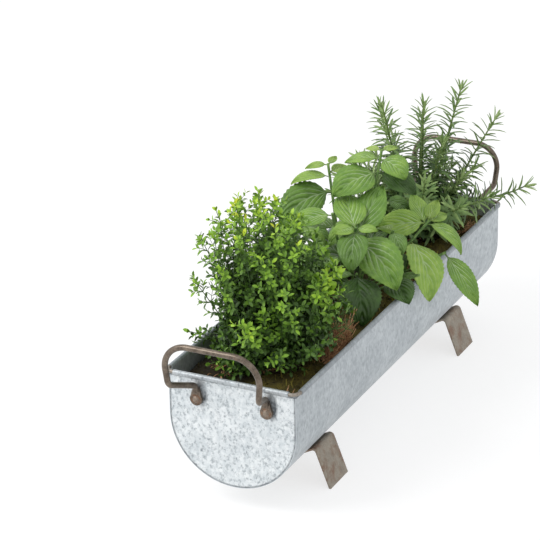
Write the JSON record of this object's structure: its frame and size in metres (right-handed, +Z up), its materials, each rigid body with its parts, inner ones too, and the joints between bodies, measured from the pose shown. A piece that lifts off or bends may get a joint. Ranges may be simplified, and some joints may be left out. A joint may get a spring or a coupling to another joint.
{
  "type": "indoor herb planter",
  "caption": "Half-round galvanised trough planter on riveted strap feet, with rod handles at its ends, planted with thyme, mint and rosemary that lift out.",
  "frame": {"origin": "on the floor under the middle of the trough", "axes": "+X along the trough, +Y across it, +Z up"},
  "size_m": [0.6564, 0.2508, 0.319],
  "materials": {
    "galvanised_sheet": "hot-dip galvanised with a fine spangle",
    "rim_wire_steel": "bare steel wire, lightly rusted",
    "handle_rod": "aged bronze-brown",
    "rivet_steel": "aged steel",
    "foot_strap_steel": "weathered beige-grey with rust",
    "potting_mix": "loose bark and peat",
    "moss": "dried olive moss",
    "coir": "red-brown fibre",
    "thyme_stem": "green-brown twig",
    "thyme_leaf": "small leaves, yellow-green at the tips",
    "mint_stem": "soft green stem",
    "mint_leaf": "veined leaf, satin",
    "rosemary_stem": "grey-green twig",
    "rosemary_leaf": "narrow needles, paler beneath"
  },
  "bodies": {
    "planter": {"trough_sheet": "galvanised_sheet", "end_panel_front": "galvanised_sheet", "end_panel_rear": "galvanised_sheet", "rim_wire": "rim_wire_steel", "handle_front": "handle_rod", "handle_rear": "handle_rod", "handle_rivets_front": "rivet_steel", "handle_rivets_rear": "rivet_steel", "foot_strap_front": "foot_strap_steel", "foot_strap_rear": "foot_strap_steel", "foot_rivets_front": "rivet_steel", "foot_rivets_rear": "rivet_steel", "potting_fill": "potting_mix", "moss_mat": "moss"},
    "thyme": {"thyme_root_plug": "coir", "thyme_stems": "thyme_stem", "thyme_sprigs": "thyme_leaf"},
    "mint": {"mint_root_plug": "coir", "mint_stems": "mint_stem", "mint_leaves": "mint_leaf"},
    "rosemary": {"rosemary_root_plug": "coir", "rosemary_stems": "rosemary_stem", "rosemary_sprigs": "rosemary_leaf"}
  },
  "joints": [
    {"name": "thyme_lift", "type": "slide", "parent": "planter", "child": "thyme", "axis": [0, 0, 1], "range_m": [0, 0.15]},
    {"name": "mint_lift", "type": "slide", "parent": "planter", "child": "mint", "axis": [0, 0, 1], "range_m": [0, 0.15]},
    {"name": "rosemary_lift", "type": "slide", "parent": "planter", "child": "rosemary", "axis": [0, 0, 1], "range_m": [0, 0.15]}
  ]
}
